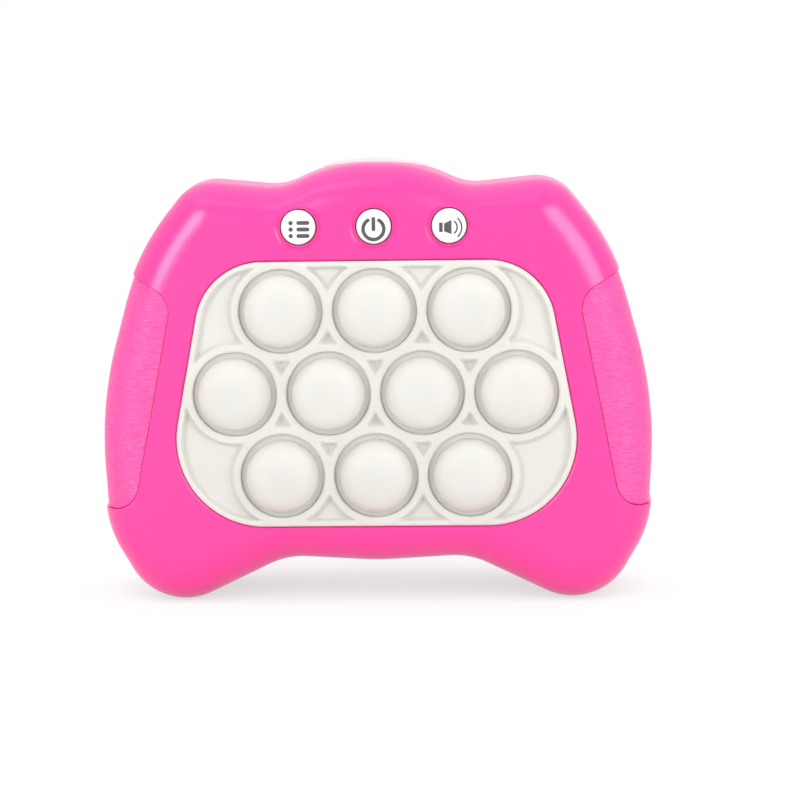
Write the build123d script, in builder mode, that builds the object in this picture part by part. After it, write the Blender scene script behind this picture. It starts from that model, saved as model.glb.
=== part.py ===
from build123d import *
import math
import os

os.makedirs("parts", exist_ok=True)

# Handheld electronic bubble pop game, in millimetres.
# X runs across, Y from the player to the back and Z up.
# It stands on its two lower lobes, with the bubbles facing -Y.
# The bubbles and the cells set its size: the casing is laid out round them.

# Depths, from the tips of the bubbles to the back of the battery hump
dome_proud = 5.5
front_depth = 20.0
rear_depth = 20.0
hump_rise = 9.5

# Casing
wall = 3.0
front_draft_angle = 4.0
rear_draft_angle = 3.0
side_margin = 14.1
top_margin = 22.3
edge_round_spare = 0.5
overrun = 1.0

# Right half of the casing's outline from the top centre round to the lobe:
# corner across and up, and its rounding, as shares of half_width,
# shell_height and half_width. The last corner is on the centre line.
casing_outline_shares = [
    (0.145, 1.0, 0.53),
    (0.334, 0.947, 0.206),
    (0.656, 0.967, 0.17),
    (0.868, 0.8, 0.88),
    (1.0193, 0.454, 1.4),
    (0.992, 0.163, 0.4),
    (0.792, -0.05, 0.236),
    (0.326, 0.091, 0.264),
    (0.0, 0.079, 0.974),
]

# Locating lip between the two halves
lip_height = 1.6
lip_thickness = 0.8
lip_clearance = 0.1

# Grip pads, set into both sides
grip_step = 0.5
grip_depth = 1.4
grip_gap = 0.15
grip_round = 6.0
# Inner edge of the right grip: its four corners across and up
grip_outline_shares = [(1.09, 0.827), (0.718, 0.693), (0.864, 0.217), (1.09, 0.217)]

# Bubbles, in staggered rows
bubble_rows = (3, 4, 3)
bubble_radius = 7.85
bubble_wall = 1.3
bubble_travel = 2.6
bubble_skirt = 0.85
bubble_skirt_drop = 0.9
bubble_skirt_thickness = 0.8
bubble_clearance = 0.3
row_lean_angle = 60.4
plunger_inner = 3.0
plunger_wall = 1.2
pill_thickness = 0.8
pill_clearance = 0.2

# Silicone mat, with a ring round each bubble that runs into its neighbours
mat_clearance = 0.2
mat_flange = 1.8
mat_flange_thickness = 1.2
mat_floor_depth = 1.6
rim_width = 1.4
rim_proud = 0.4
rim_round = 0.5
ring_setback = 0.3
ring_width = 1.8
ring_merge = 1.4
ring_proud = 0.6

# Tray opening for the mat, just outside the outermost rings
tray_bottom_z = 17.5
tray_top_ease = -0.1
tray_bottom_ease = 0.3
tray_side_ease = 0.35
tray_lean_angle = 10.6
tray_top_round = 15.0
tray_bottom_round = 19.5
tray_edge_round = 0.7

# Round buttons on the front
key_rise = 7.5
key_spacing = 16.6
key_radius = 3.8
key_clearance = 0.3
key_proud = 0.9
key_round = 0.7
key_travel = 0.7
key_flange_radius = 4.9
key_flange_thickness = 1.0
key_stem_radius = 1.9
key_stem_length = 0.95
key_dish_radius = 5.3
key_dish_depth = 0.5
key_dish_angle = 60.0
contact_gap = 0.05

# Tact switches under the front buttons and the top button
switch_width = 5.2
switch_height = 3.5
switch_plunger_radius = 1.7
switch_plunger_height = 0.5

# Main board, with one light for each bubble
board_thickness = 1.6
board_tab_drop = 6.5
board_top_margin = 4.5
board_ear_radius = 3.2
light_width = 3.5
light_height = 1.5

# Wide button on the top edge
top_button_rise = 1.2
top_button_half_x = 12.0
top_button_half_y = 7.5
top_button_sides_drop = 2.1
top_button_clearance = 0.25
top_button_travel = 1.5
top_button_round = 0.7
top_flange_overlap = 1.5
top_flange_thickness = 1.2
top_flange_clearance = 0.3
collar_wall = 1.6
collar_height = 2.4
collar_room = 2.1

# Small board, switch and return spring under the top button
top_board_half = 13.0
top_board_length = 15.0
spring_wire = 0.6
spring_inner_radius = 3.95
spring_gap = 0.05

# Cells, laid side by side, and their contacts
cell_diameter = 10.5
cell_length = 44.5
cell_nub_radius = 1.9
cell_nub_length = 1.2
cell_gap = 0.5
cell_count = 3
cell_clearance = 0.3
contact_room = 3.25
contact_plate = 0.4
contact_width = 8.0
coil_wire = 0.6
coil_turns = 3
coil_foot_radius = 3.2
coil_tip_radius = 2.0
coil_sink = 0.1

# Battery compartment, its door, and the hump round them
box_wall = 1.2
door_side_margin = 6.5
door_rim = 0.8
door_thickness = 2.0
door_corner_round = 3.0
door_clearance = 0.25
door_seat_gap = 0.1
tongue_reach = 2.2
tongue_thickness = 1.2
tongue_width = 6.0
tongue_spacing = 20.0
tongue_neck = 2.0
tongue_clearance = 0.3
door_screw_margin = 3.9
door_boss_radius = 2.6
door_screw_radius = 1.25
door_screw_head_radius = 2.2
door_screw_head_height = 1.1
door_screw_length = 6.0
door_screw_play = 0.35
hump_bottom_z = 20.5
hump_room_x = 4.0
hump_room_z = 3.45
hump_corner_round = 9.0
hump_edge_round = 3.0
hump_foot_round = 2.0
hump_draft_angle = 8.0

# Loudspeaker behind the grille holes
speaker_drop = 18.5
speaker_radius = 8.0
speaker_rim = 1.2
speaker_depth = 5.5
speaker_magnet_radius = 5.0
speaker_clearance = 0.2
speaker_ring_wall = 1.2
speaker_ring_height = 4.0
grille_hole_radius = 0.8
grille_rings = (1, 6, 12)
grille_ring_spacing = 2.7

# Screws and their bosses
case_boss_margin = 14.5
case_boss_bottom_z = 10.0
case_boss_spacing = 7.2
case_boss_front_radius = 3.2
case_boss_rear_radius = 4.6
case_boss_root = 0.5
case_well_radius = 3.2
case_ledge = 3.0
case_screw_radius = 1.1
case_screw_hole_clearance = 0.4
case_screw_head_radius = 2.7
case_screw_head_height = 1.8
case_screw_length = 9.0
board_boss_inset = 2.9
board_boss_rise = 1.0
board_boss_side = 11.8
board_boss_lift = 0.5
board_boss_radius = 2.6
board_screw_radius = 0.9
board_screw_hole_clearance = 0.2
board_screw_head_radius = 1.9
board_screw_head_height = 1.1
board_screw_length = 6.0
pilot_clearance = 0.05

# Planes across the depth
overall_depth = dome_proud + front_depth + rear_depth + hump_rise
front_y = -overall_depth / 2 + dome_proud
parting_y = front_y + front_depth
rear_y = parting_y + rear_depth
back_y = rear_y + hump_rise
front_inner_y = front_y + wall
rear_inner_y = rear_y - wall
mat_back_y = front_inner_y + mat_flange_thickness
mat_floor_y = front_y + mat_floor_depth
key_flange_y = front_inner_y + key_clearance
key_stem_y = key_flange_y + key_flange_thickness + key_stem_length
switch_tip_y = key_stem_y + key_travel + contact_gap
switch_face_y = switch_tip_y + switch_plunger_height
board_y = switch_face_y + switch_height
board_back_y = board_y + board_thickness

# Bubbles, rings and the tray round them, across and up
mat_hole_radius = bubble_radius + bubble_skirt + bubble_clearance
ring_inner = mat_hole_radius + ring_setback
ring_outer = ring_inner + ring_width
bubble_pitch = 2 * ring_outer - ring_merge
bubble_row_pitch = bubble_pitch / 2 * math.tan(math.radians(row_lean_angle))
bubble_middle_z = tray_bottom_z + tray_bottom_ease + ring_outer + bubble_row_pitch
tray_top_z = bubble_middle_z + bubble_row_pitch + ring_outer + tray_top_ease
tray_lean = math.radians(tray_lean_angle)
outermost_bubble = (max(bubble_rows) - 1) / 2 * bubble_pitch
tray_middle_half = outermost_bubble + (ring_outer + tray_side_ease) / math.cos(tray_lean)
tray_top_half = tray_middle_half - (tray_top_z - bubble_middle_z) * math.tan(tray_lean)
tray_bottom_half = tray_middle_half + (bubble_middle_z - tray_bottom_z) * math.tan(tray_lean)

# Casing, buttons, boards and screws
half_width = tray_bottom_half + side_margin
shell_height = tray_top_z + top_margin
overall_height = shell_height + top_button_rise
# The front and rear edges are as round as the outline's tightest corner lets them be
tightest_round = min(r for x, z, r in casing_outline_shares) * half_width - edge_round_spare
front_round = tightest_round - front_depth * math.tan(math.radians(front_draft_angle))
rear_round = tightest_round - rear_depth * math.tan(math.radians(rear_draft_angle))
key_z = tray_top_z + key_rise
board_top_z = key_z + board_top_margin
collar_bottom_z = shell_height - wall - collar_room
collar_top_z = collar_bottom_z + collar_height
speaker_z = shell_height - speaker_drop
board_boss_places = [
    (tray_bottom_half - board_boss_inset, tray_bottom_z + board_boss_rise),
    (key_spacing + board_boss_side, key_z + board_boss_lift),
]
case_boss_places = [
    (half_width - case_boss_margin, case_boss_bottom_z),
    (key_spacing + board_boss_side + case_boss_spacing, key_z),
]
board_tab_half = key_spacing + board_boss_side + board_ear_radius
board_tab_bottom_z = tray_top_z - board_tab_drop

# Cells, compartment, door and hump
cell_pitch = cell_diameter + cell_gap
box_half_width = cell_length / 2 + contact_room
box_half_height = cell_count * cell_pitch / 2 + cell_clearance
door_half_width = box_half_width + door_side_margin
door_half_height = box_half_height + door_rim
door_screw_x = box_half_width + door_screw_margin
hump_half_width = door_half_width + wall + hump_room_x
hump_half_height = box_half_height + wall + hump_room_z
cell_middle_z = hump_bottom_z + hump_half_height
door_inner_y = back_y - door_thickness
cell_y = door_inner_y - 2 * cell_clearance - cell_diameter / 2
box_floor_y = cell_y - cell_diameter / 2 - cell_clearance
hump_inner_y = back_y - wall


def facing_front(y):
    """Plane at depth y whose normal points at the player."""
    return Plane(origin=(0, y, 0), x_dir=(1, 0, 0), z_dir=(0, -1, 0))


def facing_back(y):
    """Plane at depth y whose normal points away from the player."""
    return Plane(origin=(0, y, 0), x_dir=(-1, 0, 0), z_dir=(0, 1, 0))


def both_sides(places):
    """The places across and up, and their mirror images."""
    return [(side * x, z) for x, z in places for side in (-1, 1)]


def save(part, name):
    part.label = name
    export_step(part, f"parts/{name}.step")


def casing_outline(inset):
    """Face of the casing's outline, moved in all round by inset."""
    right = [(x * half_width, z * shell_height) for x, z, _ in casing_outline_shares]
    rounds = [r * half_width for _, _, r in casing_outline_shares]
    corners = right + [(-x, z) for x, z in reversed(right[:-1])]
    rounds = rounds + rounds[-2::-1]
    with BuildSketch(Plane.XY) as outline:
        with BuildLine():
            FilletPolyline(*corners, radius=rounds, close=True)
        make_face()
        if inset:
            offset(amount=-inset)
    return outline.sketch


def front_form(inset):
    """Solid form of the front half, with every wall moved in by inset."""
    with BuildPart() as form:
        with BuildSketch(facing_front(parting_y)):
            add(casing_outline(inset))
        extrude(amount=front_depth - inset, taper=front_draft_angle)
        fillet(form.faces().sort_by(Axis.Y)[0].edges(), front_round - inset)
    return form.part


def rear_form(inset):
    """Solid form of the rear half, with every wall moved in by inset."""
    with BuildPart() as form:
        with BuildSketch(facing_back(parting_y)):
            add(casing_outline(inset))
        extrude(amount=rear_depth - inset, taper=rear_draft_angle)
        fillet(form.faces().sort_by(Axis.Y)[-1].edges(), rear_round - inset)
    return form.part


def tray_outline(grow):
    """Face of the tray opening's outline, moved out all round by grow."""
    corners = [
        (tray_top_half, tray_top_z),
        (tray_bottom_half, tray_bottom_z),
        (-tray_bottom_half, tray_bottom_z),
        (-tray_top_half, tray_top_z),
    ]
    rounds = [tray_top_round, tray_bottom_round, tray_bottom_round, tray_top_round]
    with BuildSketch(Plane.XY) as outline:
        with BuildLine():
            FilletPolyline(*corners, radius=rounds, close=True)
        make_face()
        if grow:
            offset(amount=grow)
    return outline.sketch


def hump_outline(inset):
    """Face of the battery hump's outline at its foot, moved in by inset."""
    with BuildSketch(Plane.XY) as outline:
        with Locations((0, cell_middle_z)):
            RectangleRounded(
                2 * (hump_half_width - inset),
                2 * (hump_half_height - inset),
                hump_corner_round - inset,
            )
    return outline.sketch


def grip_prism(side, gap):
    """Bar through the whole depth that bounds one grip, less gap at its edges."""
    corners = [(side * x * half_width, z * shell_height) for x, z in grip_outline_shares]
    with BuildPart() as bar:
        with BuildSketch(facing_front(parting_y)):
            with BuildLine():
                FilletPolyline(*corners, radius=[0, grip_round, grip_round, 0], close=True)
            make_face()
            if gap:
                offset(amount=-gap, kind=Kind.INTERSECTION)
        extrude(amount=overall_depth, both=True)
    return bar.part


def top_oval(grow, low, high):
    """Upright oval bar round the top button's axis."""
    with BuildPart() as bar:
        with BuildSketch(Plane.XY.offset(low)):
            with Locations((0, parting_y)):
                Ellipse(top_button_half_x + grow, top_button_half_y + grow)
        extrude(amount=high - low)
    return bar.part


bubble_places = [
    ((column - (count - 1) / 2) * bubble_pitch, bubble_middle_z + (1 - row) * bubble_row_pitch)
    for row, count in enumerate(bubble_rows)
    for column in range(count)
]
key_places = [(-key_spacing, key_z), (0, key_z), (key_spacing, key_z)]
cell_places = [cell_middle_z + (i - (cell_count - 1) / 2) * cell_pitch for i in range(cell_count)]
cell_ends = [(-1) ** i for i in range(cell_count)]

# Grip rooms: what both halves lose so that the grips sit in them
grip_rooms_front = [grip_prism(side, 0) - front_form(grip_depth) for side in (-1, 1)]
grip_rooms_rear = [grip_prism(side, 0) - rear_form(grip_depth) for side in (-1, 1)]
top_hole = top_oval(top_button_clearance, collar_bottom_z - overrun, overall_height)
top_collar = top_oval(top_button_clearance + collar_wall, collar_bottom_z, collar_top_z)


# Front shell
with BuildPart() as front_shell:
    add(front_form(0))
    add(front_form(wall), mode=Mode.SUBTRACT)
    # Tray opening with a rounded edge
    with BuildSketch(facing_front(front_inner_y + overrun)):
        add(tray_outline(0))
    extrude(amount=wall + 2 * overrun, mode=Mode.SUBTRACT)
    fillet(front_shell.edges(Select.LAST).group_by(Axis.Y)[0], tray_edge_round)
    # Room behind it for the mat's flange
    with BuildSketch(facing_back(front_inner_y)):
        add(tray_outline(mat_flange + mat_clearance))
    extrude(amount=board_y - front_inner_y, mode=Mode.SUBTRACT)
    # Bosses for the screws of the casing and of the main board
    with BuildSketch(facing_front(parting_y)):
        with Locations(*both_sides(case_boss_places)):
            Circle(case_boss_front_radius)
    extrude(amount=front_depth - wall + case_boss_root)
    with BuildSketch(facing_front(board_y)):
        with Locations(*both_sides(board_boss_places)):
            Circle(board_boss_radius)
    extrude(amount=board_y - front_inner_y + case_boss_root)
    add(top_collar & front_form(lip_thickness))
    # Button holes, each in a shallow dish
    with BuildSketch(facing_front(front_inner_y + overrun)):
        with Locations(*key_places):
            Circle(key_radius + key_clearance)
    extrude(amount=wall + 2 * overrun, mode=Mode.SUBTRACT)
    with BuildSketch(facing_back(front_y)):
        with Locations(*[(-x, z) for x, z in key_places]):
            Circle(key_dish_radius)
    extrude(amount=key_dish_depth, taper=key_dish_angle, mode=Mode.SUBTRACT)
    # Room behind them for the flanges of the buttons
    with BuildSketch(facing_back(front_inner_y)):
        with Locations(*[(-x, z) for x, z in key_places]):
            Circle(key_flange_radius + key_clearance)
    extrude(amount=board_y - front_inner_y, mode=Mode.SUBTRACT)
    # Pilot holes
    with BuildSketch(facing_front(parting_y)):
        with Locations(*both_sides(case_boss_places)):
            Circle(case_screw_radius + pilot_clearance)
    extrude(amount=case_screw_length, mode=Mode.SUBTRACT)
    with BuildSketch(facing_front(board_y)):
        with Locations(*both_sides(board_boss_places)):
            Circle(board_screw_radius + pilot_clearance)
    extrude(amount=board_screw_length, mode=Mode.SUBTRACT)
    # Rebate for the rear half's lip, grip rooms, top button's hole and feet
    with BuildSketch(facing_front(parting_y)):
        add(casing_outline(wall - lip_thickness - lip_clearance))
        add(casing_outline(wall), mode=Mode.SUBTRACT)
    extrude(amount=lip_height + lip_clearance, mode=Mode.SUBTRACT)
    for room in grip_rooms_front:
        add(room, mode=Mode.SUBTRACT)
    add(top_hole, mode=Mode.SUBTRACT)
    split(bisect_by=Plane.XY, keep=Keep.TOP)
save(front_shell.part, "front_shell")

# Rear shell, with the battery hump and compartment moulded in
tongue_room_outer = door_half_width
tongue_room_inner = box_half_width + box_wall
with BuildPart() as rear_shell:
    add(rear_form(0))
    with BuildSketch(facing_back(rear_inner_y)):
        add(hump_outline(0))
    extrude(amount=back_y - rear_inner_y, taper=hump_draft_angle)
    fillet(rear_shell.edges(Select.LAST).group_by(Axis.Y)[0], hump_foot_round)
    fillet(rear_shell.faces().sort_by(Axis.Y)[-1].edges(), hump_edge_round)
    add(rear_form(wall), mode=Mode.SUBTRACT)
    with BuildSketch(facing_back(rear_inner_y - overrun)):
        add(hump_outline(wall))
    extrude(amount=hump_inner_y - rear_inner_y + overrun, taper=hump_draft_angle, mode=Mode.SUBTRACT)
    # Lip that locates the front half
    with BuildSketch(facing_front(parting_y)):
        add(casing_outline(wall - lip_thickness))
        add(casing_outline(wall), mode=Mode.SUBTRACT)
    extrude(amount=lip_height)
    # Battery compartment: a box open to the back
    with BuildSketch(facing_back(box_floor_y - box_wall)):
        with Locations((0, cell_middle_z)):
            Rectangle(2 * (box_half_width + box_wall), 2 * (box_half_height + wall))
    extrude(amount=door_inner_y - door_seat_gap - box_floor_y + box_wall)
    # Bosses for the door's screw and for the screws of the casing
    with BuildSketch(facing_back(box_floor_y - box_wall)):
        with Locations((-door_screw_x, cell_middle_z)):
            Circle(door_boss_radius)
            Rectangle(2 * (door_screw_x - box_half_width), 2 * box_wall)
    extrude(amount=door_inner_y - door_seat_gap - box_floor_y + box_wall)
    with BuildSketch(facing_back(parting_y)):
        with Locations(*both_sides(case_boss_places)):
            Circle(case_boss_rear_radius)
    extrude(amount=rear_depth - wall + case_boss_root)
    # Ring that holds the loudspeaker
    with BuildSketch(facing_front(rear_inner_y)):
        with Locations((0, speaker_z)):
            Circle(speaker_radius + speaker_clearance + speaker_ring_wall)
            Circle(speaker_radius + speaker_clearance, mode=Mode.SUBTRACT)
    extrude(amount=speaker_ring_height)
    add(top_collar & rear_form(lip_thickness))
    # Door opening and the room for the cells
    with BuildSketch(facing_back(door_inner_y - door_seat_gap)):
        with Locations((0, cell_middle_z)):
            RectangleRounded(
                2 * (door_half_width + door_clearance),
                2 * (door_half_height + door_clearance),
                door_corner_round,
            )
    extrude(amount=door_thickness + door_seat_gap + overrun, mode=Mode.SUBTRACT)
    with BuildSketch(facing_back(box_floor_y)):
        with Locations((0, cell_middle_z)):
            Rectangle(2 * box_half_width, 2 * box_half_height)
    extrude(amount=back_y - box_floor_y + overrun, mode=Mode.SUBTRACT)
    # Room for the door's tongues beside the compartment
    with BuildSketch(facing_back(hump_inner_y)):
        with Locations(((tongue_room_outer + tongue_room_inner) / 2, cell_middle_z)):
            Rectangle(
                tongue_room_outer - tongue_room_inner,
                tongue_spacing + tongue_width + 4 * tongue_clearance,
            )
    extrude(amount=wall, mode=Mode.SUBTRACT)
    # Holes: the door's screw, the casing's screws in their wells, and the grille
    with BuildSketch(facing_back(box_floor_y)):
        with Locations((-door_screw_x, cell_middle_z)):
            Circle(door_screw_radius + door_screw_play)
    extrude(amount=back_y - box_floor_y, mode=Mode.SUBTRACT)
    with BuildSketch(facing_back(parting_y + case_ledge)):
        with Locations(*both_sides(case_boss_places)):
            Circle(case_well_radius)
    extrude(amount=rear_depth, mode=Mode.SUBTRACT)
    with BuildSketch(facing_back(parting_y)):
        with Locations(*both_sides(case_boss_places)):
            Circle(case_screw_radius + case_screw_hole_clearance)
    extrude(amount=case_ledge, mode=Mode.SUBTRACT)
    for ring, holes in enumerate(grille_rings):
        with BuildSketch(facing_back(rear_inner_y - overrun)):
            with Locations((0, speaker_z)):
                with PolarLocations(ring * grille_ring_spacing, holes):
                    Circle(grille_hole_radius)
        extrude(amount=wall + 2 * overrun, mode=Mode.SUBTRACT)
    for room in grip_rooms_rear:
        add(room, mode=Mode.SUBTRACT)
    add(top_hole, mode=Mode.SUBTRACT)
    split(bisect_by=Plane.XY, keep=Keep.TOP)
save(rear_shell.part, "rear_shell")

# Grip pads, each wrapped round one side from front to back
grip_skin = (front_form(grip_step) + rear_form(grip_step)) - (front_form(grip_depth) + rear_form(grip_depth))
for name, side in (("left_grip", -1), ("right_grip", 1)):
    save(Part() + (grip_prism(side, grip_gap) & grip_skin), name)

# Silicone mat: flange, raised floor, rim lip and a rib ring round each bubble
with BuildPart() as bubble_mat:
    with BuildSketch(facing_front(mat_back_y)):
        add(tray_outline(mat_flange))
    extrude(amount=mat_flange_thickness)
    with BuildSketch(facing_front(front_inner_y)):
        add(tray_outline(-mat_clearance))
    extrude(amount=front_inner_y - mat_floor_y)
    with BuildSketch(facing_front(mat_floor_y)):
        add(tray_outline(-mat_clearance))
        add(tray_outline(-mat_clearance - rim_width), mode=Mode.SUBTRACT)
    extrude(amount=mat_floor_depth + rim_proud)
    rim_top = bubble_mat.faces().sort_by(Axis.Y)[0]
    fillet(rim_top.edges(), rim_round)
    with BuildSketch(facing_front(mat_floor_y)):
        with Locations(*bubble_places):
            Circle(ring_outer)
        add(tray_outline(-mat_clearance), mode=Mode.INTERSECT)
    extrude(amount=mat_floor_depth + ring_proud)
    with BuildSketch(facing_front(mat_floor_y)):
        with Locations(*bubble_places):
            Circle(ring_inner)
    extrude(amount=mat_floor_depth + ring_proud + overrun, mode=Mode.SUBTRACT)
    with BuildSketch(facing_front(mat_back_y)):
        with Locations(*bubble_places):
            Circle(mat_hole_radius)
    extrude(amount=mat_back_y - mat_floor_y, mode=Mode.SUBTRACT)
save(bubble_mat.part, "bubble_mat")

# Bubbles: a dome with a thin skirt, on a hollow plunger with a contact pill
dome_tip = overall_depth / 2
dome_base = -mat_floor_y + bubble_skirt_drop / 2
dome_rise = dome_tip - dome_base
dome_sphere = (bubble_radius**2 + dome_rise**2) / (2 * dome_rise)
dome_centre = dome_tip - dome_sphere
skirt_low = dome_base - bubble_skirt_drop
skirt_back = skirt_low - bubble_skirt_thickness
inner_sphere = dome_sphere - bubble_wall
plunger_radius = plunger_inner + plunger_wall
plunger_end = -board_y + pill_clearance + bubble_travel + pill_thickness
plunger_top = dome_centre + math.sqrt(inner_sphere**2 - plunger_radius**2) + bubble_wall / 2
dome_angle = math.degrees(math.atan2(dome_base - dome_centre, bubble_radius))
quarter_turn = 90.0

for number, (across, up) in enumerate(bubble_places, start=1):
    # Each profile is drawn with the bubble's radius across and its depth up
    axis_plane = Plane(origin=(across, 0, up), x_dir=(1, 0, 0), z_dir=(0, 0, -1))
    press_axis = Axis((across, 0, up), (0, -1, 0))
    with BuildPart() as bubble:
        with BuildSketch(axis_plane):
            with BuildLine():
                outside = CenterArc((0, dome_centre), dome_sphere, dome_angle, quarter_turn - dome_angle)
                inside = CenterArc((0, dome_centre), inner_sphere, 0, quarter_turn)
                Polyline(
                    outside @ 0,
                    (bubble_radius + bubble_skirt, skirt_low),
                    (bubble_radius + bubble_skirt, skirt_back),
                    inside @ 0,
                )
                Line(inside @ 1, outside @ 1)
            make_face()
        revolve(axis=press_axis)
        with BuildSketch(facing_front(-plunger_end)):
            with Locations((across, up)):
                Circle(plunger_radius)
                Circle(plunger_inner, mode=Mode.SUBTRACT)
        extrude(amount=plunger_top - plunger_end)
    save(bubble.part, f"bubble_{number:02d}")

    with BuildPart() as pill:
        with BuildSketch(facing_back(-plunger_end)):
            with Locations((-across, up)):
                Circle(plunger_radius)
                Circle(plunger_inner, mode=Mode.SUBTRACT)
        extrude(amount=pill_thickness)
    save(pill.part, f"contact_pill_{number:02d}")

# Frame of light wells between the mat and the main board
with BuildPart() as light_frame:
    with BuildSketch(facing_front(board_y)):
        add(tray_outline(mat_flange))
        with Locations(*bubble_places):
            Circle(mat_hole_radius + bubble_clearance, mode=Mode.SUBTRACT)
    extrude(amount=board_y - mat_back_y)
save(light_frame.part, "light_frame")

# Main board, with a tab behind the front buttons and an ear for each screw
with BuildPart() as main_board:
    with BuildSketch(facing_back(board_y)):
        add(tray_outline(mat_flange))
        with Locations((0, (board_tab_bottom_z + board_top_z) / 2)):
            Rectangle(2 * board_tab_half, board_top_z - board_tab_bottom_z)
        for x, z in both_sides(board_boss_places):
            SlotCenterPoint((x / 2, (z + bubble_middle_z) / 2), (x, z), 2 * board_ear_radius)
        with Locations(*both_sides(board_boss_places)):
            Circle(board_screw_radius + board_screw_hole_clearance, mode=Mode.SUBTRACT)
    extrude(amount=board_thickness)
save(main_board.part, "main_board")

# One light for each bubble
with BuildPart() as bubble_lights:
    with BuildSketch(facing_front(board_y)):
        with Locations(*bubble_places):
            Rectangle(light_width, light_width)
    extrude(amount=light_height)
save(bubble_lights.part, "bubble_lights")

# Tact switches under the front buttons
with BuildPart() as front_switches:
    with BuildSketch(facing_front(board_y)):
        with Locations(*key_places):
            Rectangle(switch_width, switch_width)
    extrude(amount=switch_height)
    with BuildSketch(facing_front(switch_face_y)):
        with Locations(*key_places):
            Circle(switch_plunger_radius)
    extrude(amount=switch_plunger_height)
save(front_switches.part, "front_switches")

# Front buttons: cap, retaining flange and stem
for name, (across, up) in zip(("mode_button", "power_button", "sound_button"), key_places):
    with BuildPart() as button:
        with BuildSketch(facing_front(key_flange_y)):
            with Locations((across, up)):
                Circle(key_radius)
        extrude(amount=key_flange_y - front_y + key_proud)
        fillet(button.faces().sort_by(Axis.Y)[0].edges(), key_round)
        with BuildSketch(facing_back(key_flange_y)):
            with Locations((-across, up)):
                Circle(key_flange_radius)
        extrude(amount=key_flange_thickness)
        with BuildSketch(facing_front(key_stem_y)):
            with Locations((across, up)):
                Circle(key_stem_radius)
        extrude(amount=key_stem_length)
    save(button.part, name)

# Top button: crowned oval cap with a retaining flange
top_flange_z = collar_bottom_z - top_flange_clearance
top_flange_under_z = top_flange_z - top_flange_thickness
crown_radius = (top_button_half_x**2 + top_button_sides_drop**2) / (2 * top_button_sides_drop)
with BuildPart() as top_button:
    add(top_oval(0, top_flange_z, overall_height))
    with BuildSketch(facing_front(parting_y)):
        with Locations((0, overall_height - crown_radius)):
            Circle(crown_radius)
    extrude(amount=front_depth, both=True, mode=Mode.INTERSECT)
    crown = top_button.faces().sort_by(Axis.Z)[-1]
    fillet(crown.edges(), top_button_round)
    add(top_oval(top_flange_overlap, top_flange_under_z, top_flange_z))
save(top_button.part, "top_button")

# Small board, switch and spring under the top button
top_switch_tip_z = top_flange_under_z - top_button_travel - contact_gap
top_switch_z = top_switch_tip_z - switch_plunger_height
top_board_z = top_switch_z - switch_height
with BuildPart() as top_board:
    with BuildSketch(Plane.XY.offset(top_board_z - board_thickness)):
        with Locations((0, board_back_y + top_board_length / 2)):
            Rectangle(2 * top_board_half, top_board_length)
    extrude(amount=board_thickness)
save(top_board.part, "top_board")

with BuildPart() as top_switch:
    with BuildSketch(Plane.XY.offset(top_board_z)):
        with Locations((0, parting_y)):
            Rectangle(switch_width, switch_width)
    extrude(amount=switch_height)
    with BuildSketch(Plane.XY.offset(top_switch_z)):
        with Locations((0, parting_y)):
            Circle(switch_plunger_radius)
    extrude(amount=switch_plunger_height)
save(top_switch.part, "top_switch")

with BuildPart() as top_spring:
    with BuildSketch(Plane.XY.offset(top_board_z + spring_gap)):
        with Locations((0, parting_y)):
            Circle(spring_inner_radius + spring_wire)
            Circle(spring_inner_radius, mode=Mode.SUBTRACT)
    extrude(amount=top_flange_under_z - top_board_z - 2 * spring_gap)
save(top_spring.part, "top_spring")

# Loudspeaker: basket rim, cone side and magnet
with BuildPart() as speaker:
    with BuildSketch(facing_front(rear_inner_y)):
        with Locations((0, speaker_z)):
            Circle(speaker_radius)
    extrude(amount=speaker_rim)
    with BuildSketch(facing_front(rear_inner_y - speaker_rim)):
        with Locations((0, speaker_z)):
            Circle(speaker_magnet_radius)
    extrude(amount=speaker_depth - speaker_rim)
save(speaker.part, "speaker")

# Cells, laid side by side with their ends turned about
cell_stop = box_half_width - contact_plate
for number, (z, end) in enumerate(zip(cell_places, cell_ends), start=1):
    with BuildPart() as cell:
        with BuildSketch(Plane(origin=(end * cell_stop, cell_y, z), z_dir=(-end, 0, 0))):
            Circle(cell_nub_radius)
        extrude(amount=cell_length)
        with BuildSketch(Plane(origin=(end * (cell_stop - cell_nub_length), cell_y, z), z_dir=(-end, 0, 0))):
            Circle(cell_diameter / 2)
        extrude(amount=cell_length - cell_nub_length)
    save(cell.part, f"battery_{number}")

# Contacts: a plate at each end of each cell, with a coil on the flat end
coil_reach = 2 * cell_stop - cell_length - coil_wire / 2 - spring_gap + coil_sink
coil_angle = math.degrees(math.atan2(coil_foot_radius - coil_tip_radius, coil_reach))
with BuildPart() as battery_contacts:
    for z, end in zip(cell_places, cell_ends):
        for side in (-1, 1):
            plate_plane = Plane(origin=(side * box_half_width, cell_y, z), z_dir=(-side, 0, 0))
            with BuildSketch(plate_plane):
                Rectangle(contact_width, contact_width)
            extrude(amount=contact_plate)
        with BuildLine() as coil:
            Helix(
                pitch=coil_reach / coil_turns,
                height=coil_reach,
                radius=coil_foot_radius,
                center=(-end * (cell_stop + coil_sink), cell_y, z),
                direction=(end, 0, 0),
                cone_angle=-coil_angle,
            )
        with BuildSketch(Plane(origin=coil.line @ 0, z_dir=coil.line % 0)):
            Circle(coil_wire / 2)
        sweep(path=coil.line, is_frenet=True)
save(battery_contacts.part, "battery_contacts")

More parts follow.
